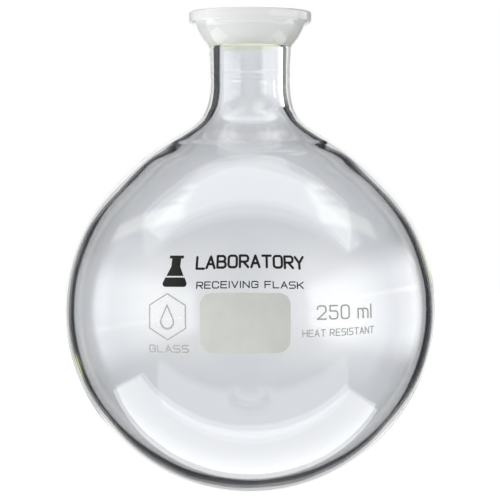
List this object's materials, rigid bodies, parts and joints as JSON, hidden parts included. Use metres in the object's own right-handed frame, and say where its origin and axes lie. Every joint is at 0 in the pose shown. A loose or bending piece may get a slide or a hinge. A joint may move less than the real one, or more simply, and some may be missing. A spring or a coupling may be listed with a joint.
{
  "type": "round bottom flask",
  "caption": "Clear glass round bottom receiving flask with a short neck, a flanged spherical ground-joint socket and fired enamel markings with a writing panel.",
  "frame": {"origin": "lowest point of the bulb, on the flask's axis", "axes": "+Z along the axis from the bulb's bottom to the socket's rim; -Y is the side with the markings"},
  "size_m": [0.085, 0.0851, 0.1103],
  "materials": {
    "clear_glass": "fire-polished clear borosilicate glass",
    "ground_glass": "ground spherical seat, clear outside",
    "white_enamel": "matt fired enamel",
    "black_enamel": "satin fired enamel",
    "pale_enamel": "matt fired enamel"
  },
  "bodies": {
    "root": {"flask_blank": "clear_glass", "ball_socket": "ground_glass", "writing_panel": "white_enamel", "title_print": "black_enamel", "subtitle_print": "black_enamel", "flask_sign": "black_enamel", "capacity_print": "pale_enamel", "grade_print": "pale_enamel", "emblem_hexagon": "pale_enamel", "emblem_drop": "pale_enamel", "caption_print": "pale_enamel"}
  },
  "joints": []
}
